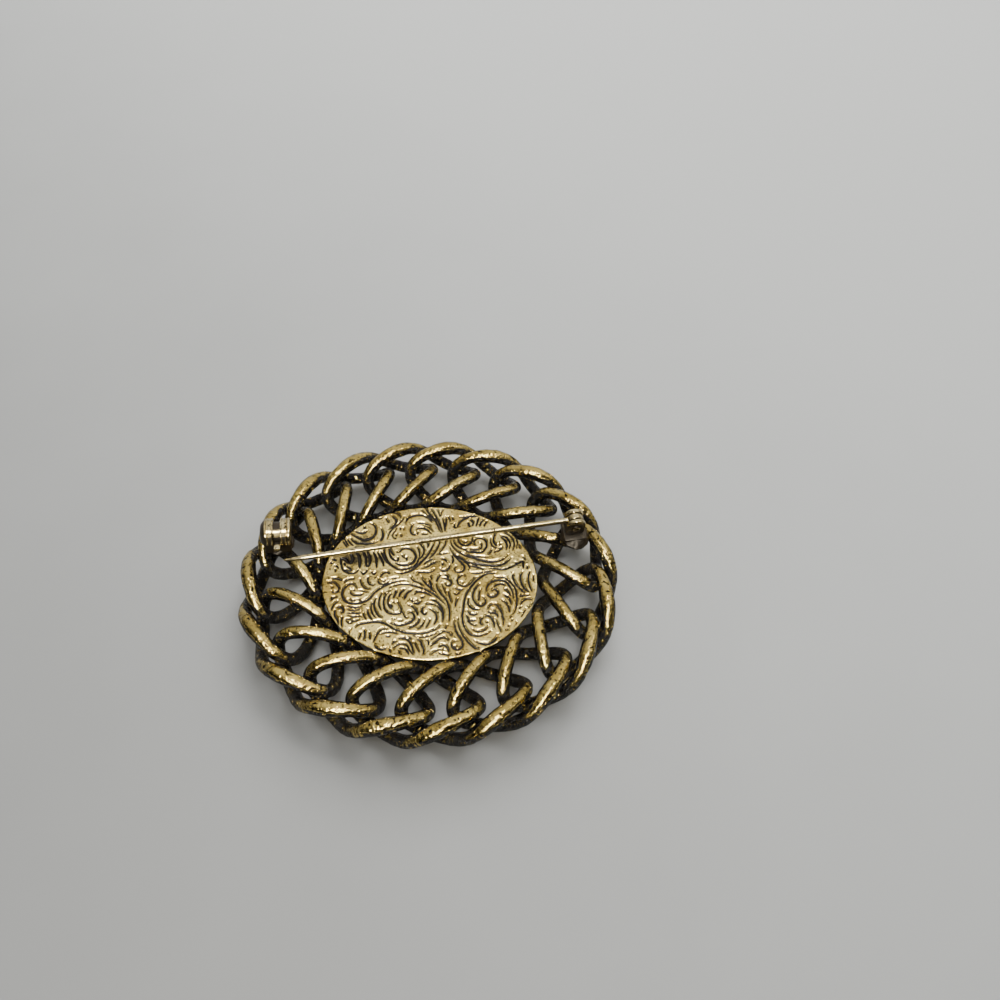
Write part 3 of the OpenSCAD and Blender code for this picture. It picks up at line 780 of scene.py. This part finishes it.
def work(piece, tool, operation="DIFFERENCE"):
    """Cuts the tool's shape out of the piece, or joins it on. The tool is used up."""
    pick_up(piece)
    step = piece.modifiers.new("work", "BOOLEAN")
    step.operation, step.solver, step.object = operation, "EXACT", tool
    bpy.ops.object.modifier_apply(modifier="work")
    bpy.data.objects.remove(tool)


def file_edges(piece, width, angle=35):
    """Rounds the sharp edges a little, as a file does."""
    pick_up(piece)
    step = piece.modifiers.new("file", "BEVEL")
    step.width, step.segments, step.limit_method, step.angle_limit = width, 2, "ANGLE", math.radians(angle)
    bpy.ops.object.modifier_apply(modifier="file")
    return piece


def set_down(piece, matrix):
    """Puts a piece made at the origin in its place, and gives its points there, in millimetres."""
    piece.data.transform(Matrix.Scale(MM, 4) @ matrix)
    piece.data.update()
    pick_up(piece)
    bpy.ops.object.shade_smooth_by_angle(angle=math.radians(38))
    return points_of(piece) / MM, normals_of(piece)


def on_the_bench(points, matrix):
    """Where points of a piece lie in its own directions, as before it was set down."""
    return np.array([matrix.inverted() @ Vector(p) for p in points])


def about_the_axis(points):
    """Points of the catch on the bench, their distance from its axis, and the way round it in degrees."""
    own = on_the_bench(points, CATCH)
    return own, np.hypot(own[:, 0], own[:, 1]), np.degrees(np.arctan2(own[:, 1], own[:, 0])) % 360


print("catch on the bench:", on_the_bench([CATCH.translation], CATCH).round(3))

# %% [markdown]
# ## Hinge
# Two ears stand on a foot, with the pin's eye between them and a rivet through all three. Each ear starts as
# a disc whose lower half is squared off, and is extruded to its thickness. The flat faces are left dark, and
# the rounded tops are gold.

# %% Hinge ears and foot
EAR_RADIUS, EAR_RISE, EAR_THICK, EAR_Y, BORE = 1.55, 0.55, 0.6, 0.645, 0.56
EAR_SQUARENESS, EAR_DROP = 0.3, 1.66


def hinge_ear(y0):
    """One ear: a disc whose lower half is squared off, extruded from y0."""
    ear = start_from(bpy.ops.mesh.primitive_circle_add, vertices=72, radius=1, fill_type="NGON")
    disc = points_of(ear)
    low = disc[:, 1] < 0
    disc[low] = (np.sign(disc) * np.abs(disc) ** EAR_SQUARENESS)[low] * (1, EAR_DROP, 1)
    x, z = disc[:, 0] * EAR_RADIUS, EAR_RISE + disc[:, 1] * EAR_RADIUS
    move_points(ear, np.column_stack([x, np.full(len(disc), y0), z]))
    bpy.ops.object.mode_set(mode="EDIT")
    bpy.ops.mesh.select_all(action="SELECT")
    bpy.ops.mesh.extrude_region_move(TRANSFORM_OT_translate={"value": (0, EAR_THICK, 0)})
    turn_faces_out()
    return file_edges(ear, 0.12)


def bore_across(piece):
    """Drills the hole that the rivet goes through."""
    drill = turn_on_lathe([(-3, BORE), (3, BORE)], 48)
    drill.data.transform(ACROSS)
    work(piece, drill)


bracket = hinge_ear(EAR_Y)
work(bracket, hinge_ear(-EAR_Y - EAR_THICK), "UNION")
work(bracket, file_edges(block((-1.85, -2.3, -2.85), (1.85, 1.6, -2.0)), 0.22), "UNION")
bore_across(bracket)
points, facing = set_down(bracket, HINGE)
crest = eased(on_the_bench(points, HINGE)[:, 2], 0.5, 1.5) * eased(facing[:, 2], 0.0, 0.4)
write_wear_and_painted_light(bracket, 0.27 + 0.8 * crest + 0.2 * grainy(points, 0.6, 5))
finish_piece(bracket, "hinge_ears", "hinge_bracket")

# %% Hinge rivet
HEAD = [(1.305, 0.75), (1.38, 0.74), (1.45, 0.67), (1.51, 0.52), (1.545, 0.3), (1.555, 0.08)]
SHANK = [(-1.304, 0.5), (1.304, 0.5)]
rivet = turn_on_lathe([(-z, r) for z, r in reversed(HEAD)] + SHANK + HEAD, 48)
points, _ = set_down(rivet, HINGE @ ACROSS)
own = on_the_bench(points, HINGE)
write_wear_and_painted_light(rivet, 0.1 + 0.9 * eased(np.hypot(own[:, 0], own[:, 2]), 0.66, 0.5))
finish_piece(rivet, "hinge_pin", "hinge_rivet")

# %% [markdown]
# ## Pin stem
# A round wire, drawn down to a point, with its other end flattened into an eye. The wire is turned on the
# same lathe, laid along its line, and joined to a bored disc whose upper edge rises to meet it.

# %% Pin stem
STEM_START, STEM_WAY = Vector((22.6525, 8.5153, 10.9)), Vector((-0.983557, -0.179280, -0.021762))
STEM_RADIUS, NECK_RADIUS, NECK_LENGTH, STRAIGHT, TAPER = 0.45, 0.475, 4.2, 42, 3
EYE = [(-0.475, 1.4), (-0.42, 1.46), (-0.3, 1.5), (0.3, 1.5), (0.42, 1.46), (0.475, 1.4)]
shank = [(z, np.interp(z, (0, NECK_LENGTH), (NECK_RADIUS, STEM_RADIUS))) for z in range(STRAIGHT + 1)]
point = [(42.952 + TAPER * s, STEM_RADIUS - 0.33 * s**1.3) for s in np.linspace(0, 1, 9)]
stem = turn_on_lathe(shank + point + [(45.96, 0.06)], 24)
stem.data.transform(Matrix.Translation(STEM_START) @ STEM_WAY.to_track_quat("Z", "Y").to_matrix().to_4x4())
stem.data.transform(HINGE.inverted())
eye = turn_on_lathe(EYE)
eye.data.transform(ACROSS)
disc = points_of(eye)
disc[:, 2] *= np.where(disc[:, 2] > 0, 1.36, 1)
move_points(eye, disc)
work(stem, eye, "UNION")
bore_across(stem)
points, facing = set_down(stem, HINGE)
# Partly wash and partly painted shade: only the upward-facing side of the stem is gold, and the lower side
# stays dark.
write_wear_and_painted_light(stem, 0.38 + (0.52 + 0.3 * grainy(points, 1.6, 7)) * eased(facing[:, 2], 0.6, 0.9))
finish_piece(stem, "pin_wire", "pin_stem", body="pin")

# %% [markdown]
# ## Safety catch
# The catch is a short tube on a foot, slit so that two bands are left with a gap between them. A sleeve
# turns inside it, and a small thumb tab on the sleeve comes out through the gap. The tube is turned with
# its round shoulder and fine grooves, bored, and then slit with wedges.

# %% Catch tube
SHOULDER = [
    (-2.34, 1.4), (-2.3, 1.56), (-2.18, 1.78), (-2.0, 2.03), (-1.78, 2.25), (-1.56, 2.38), (-1.44, 2.4),
]
BANDS = [
    (-1.38, 2.33), (-1.34, 2.43), (-1.27, 2.5), (-1.14, 2.5), (-1.06, 2.43), (-0.66, 2.43), (-0.58, 2.5),
    (-0.46, 2.5), (-0.36, 2.46), (0.71, 2.46), (0.81, 2.5), (0.93, 2.5), (1.01, 2.43), (1.41, 2.43),
    (1.49, 2.5), (1.6, 2.5), (1.66, 2.43), (1.72, 2.32), (1.79, 2.44), (1.86, 2.49), (2.12, 2.49),
    (2.2, 2.45), (2.24, 2.37),
]
SLEEVE_ROOM, THROAT, GAP_LOW, GAP_HIGH = [(-1.34, 1.95), (1.74, 1.95)], [(-4, 1.25), (4, 1.25)], -0.38, 0.73


def wedge(from_angle, to_angle, low=-4, high=4, reach=6):
    """A slice of a round cake about z, between two angles in degrees and two heights."""
    slice_ = start_from(bpy.ops.mesh.primitive_plane_add, size=1)
    rim = (math.radians(v) for v in (from_angle, to_angle, (from_angle + to_angle) / 2))
    move_points(slice_, [(0, 0, low)] + [(reach * math.cos(v), reach * math.sin(v), low) for v in rim])
    bpy.ops.object.mode_set(mode="EDIT")
    bpy.ops.mesh.select_all(action="SELECT")
    bpy.ops.mesh.extrude_region_move(TRANSFORM_OT_translate={"value": (0, 0, high - low)})
    turn_faces_out()
    return slice_


tube = turn_on_lathe(SHOULDER + BANDS, 96)
work(tube, file_edges(block((-1.9, -3.02, -1.84), (2.1, -1.5, 2.2)), 0.2), "UNION")
work(tube, turn_on_lathe(SLEEVE_ROOM, 96))
work(tube, turn_on_lathe(THROAT, 96))
work(tube, wedge(166, 238))
work(tube, wedge(-20, 110, GAP_LOW, GAP_HIGH))
work(tube, wedge(100, 238, GAP_LOW, GAP_HIGH))
file_edges(tube, 0.035, 50)
points, _ = set_down(tube, CATCH)
own, reach, way_round = about_the_axis(points)
skin = eased(reach, 2.25, 2.42) * eased(own[:, 1], -1.9, -0.6)
# Partly wash and partly painted shade: the recessed middles of the bands are darkened only on their lower,
# near side, past about 130 degrees round.
skin *= 1 - 0.8 * eased(reach, 2.49, 2.44) * eased(way_round, 122, 134)
write_wear_and_painted_light(tube, 0.06 + 0.9 * skin + 0.1 * grainy(points, 0.7, 8))
finish_piece(tube, "catch_tube", "catch_body")

# %% Catch sleeve and thumb tab
TAB_AT = 176
sleeve = turn_on_lathe([(-1.28, 1.84), (-1.22, 1.9), (1.62, 1.9), (1.68, 1.84)], 96)
work(sleeve, turn_on_lathe(THROAT, 96))
work(sleeve, wedge(188, 236))
file_edges(sleeve, 0.03, 50)
tab = file_edges(block((1.45, -0.4, -0.3), (3.1, 0.4, 0.65)), 0.16)
tab.data.transform(turning(TAB_AT, "Z"))
work(sleeve, tab, "UNION")
points, _ = set_down(sleeve, CATCH)
own, reach, way_round = about_the_axis(points)
# Painted highlight and shade: the sleeve is gold only in a narrow band round its way, where it catches the
# lamps, and dark above and below it. The thumb tab is rubbed bright.
lit_band_and_rubbed_tab = eased(reach, 1.7, 1.9) * eased(way_round, 96, 106) * eased(way_round, 138, 128)
lit_band_and_rubbed_tab = np.maximum(lit_band_and_rubbed_tab, eased(reach, 1.95, 2.2))
write_wear_and_painted_light(sleeve, 0.08 + 0.9 * lit_band_and_rubbed_tab + 0.1 * grainy(points, 0.7, 9))
finish_piece(sleeve, "catch_sleeve", "catch_barrel", body="barrel")

# %% [markdown]
# ## Solder
# The hinge and the catch are held to the links by solder, which leaves low dark mounds under their feet.
# Each mound is a ball that is flattened and made uneven.

# %% Solder under the fittings
for name, matrix, middle, size in (
    ("hinge_solder", HINGE, (0.1, -0.9, -3.0), (2.3, 2.6, 0.95)),
    ("catch_solder", CATCH, (0.2, -3.1, 0.2), (2.3, 0.75, 2.3)),
):
    mound = start_from(bpy.ops.mesh.primitive_uv_sphere_add, segments=64, ring_count=32, radius=1)
    ball = points_of(mound)
    uneven = 1 + 0.16 * grainy(ball, 0.55, 12) + 0.06 * grainy(ball, 0.2, 13)
    move_points(mound, ball * uneven[:, None] * size + middle)
    points, _ = set_down(mound, matrix)
    write_wear_and_painted_light(mound, 0.12 + 0.3 * grainy(points, 0.8, 14))
    finish_piece(mound, name)

# %% [markdown]
# ## Setting cup
# A plain oval wall with a narrow lip turned in under the stone. A torus is a ring of small rings: here each
# small ring is laid on the outline of the wall, and the large ring on the oval. The outline gives how far
# in from the outer side, and how high, each point lies.

# %% Setting cup
CUP_X, CUP_Y = 16.8, 12.8
WALL = [
    (0.0, 4.73), (0.0, 4.2), (0.0, 2.4), (0.05, 2.22), (0.16, 2.1), (0.34, 2.05), (0.8, 2.05), (0.92, 2.1),
    (0.95, 2.25), (0.92, 2.4), (0.8, 2.45), (0.5, 2.45), (0.5, 3.2), (0.5, 4.73),
]
torus = bpy.ops.mesh.primitive_torus_add
cup = start_from(torus, major_segments=200, minor_segments=len(WALL), major_radius=8, minor_radius=1)
start = points_of(cup)
turn = np.arctan2(start[:, 1], start[:, 0])
inset, height = np.array(WALL)[np.arange(len(start)) % len(WALL)].T
across = np.column_stack([(CUP_X - inset) * np.cos(turn), (CUP_Y - inset) * np.sin(turn)]) + PLATE_MIDDLE
move_points(cup, np.column_stack([across, height]))
turn_faces_out()
points, facing = set_down(cup, Matrix.Identity(4))
write_wear_and_painted_light(cup, 0.45 + 0.3 * eased(-facing[:, 2], 0.2, 0.7) + 0.3 * grainy(points, 1.4, 15))
finish_piece(cup, "stone_cup", "setting_cup", material=plate_gold, slot="plate_metal")

# %% [markdown]
# ## Glass stone
# The stone faces down and can't be seen from the camera, so its amber colour is a guess. A sphere is drawn
# out into an oval dome below the girdle. Its upper half is pressed into a short wall, a rounded corner and
# a flat back.

# %% Glass stone
STONE_X, STONE_Y, GIRDLE, DOME, BACK = 16.18, 12.18, 3.2, 2.95, 4.4
WALL_SHARE, CORNER = 0.5, 0.12
AMBER, DEEP_AMBER = (0.62, 0.24, 0.03, 1), (0.44, 0.14, 0.02, 1)
stone = start_from(bpy.ops.mesh.primitive_uv_sphere_add, segments=128, ring_count=64, radius=1)
ball = points_of(stone)
upper = ball[:, 2] > 0
lift = np.clip(ball[:, 2], 0, 1)
spread = np.hypot(ball[:, 0], ball[:, 1]).clip(1e-6)
reach = np.where(upper, np.clip((1 - lift) / WALL_SHARE, 0, 1) ** 0.6, spread)
corner = CORNER * (1 - np.sqrt(np.clip((1 - reach) / 0.02, 0, 1))) * (lift > 0.4)
raised = GIRDLE + (BACK - GIRDLE) * np.clip(lift / WALL_SHARE, 0, 1) - corner
height = np.where(upper, raised, GIRDLE + DOME * ball[:, 2])
flat = ball[:, :2] * (reach / spread)[:, None] * (STONE_X, STONE_Y)
move_points(stone, np.column_stack([flat + PLATE_MIDDLE, height]))
set_down(stone, Matrix.Identity(4))
stone.data.shade_smooth()
glass = Finish("amber_glass", Transmission_Weight=0.6, IOR=1.52, Specular_IOR_Level=0.6)
amber = glass.mix(glass.grain(120, 3).held(0.3, 0.7), AMBER, DEEP_AMBER)
amber_glass = glass.wear(Base_Color=amber, Roughness=0.03 + glass.grain(500, 2) * 0.05)
finish_piece(stone, "glass_stone", "cabochon", material=amber_glass, slot="stone_glass")
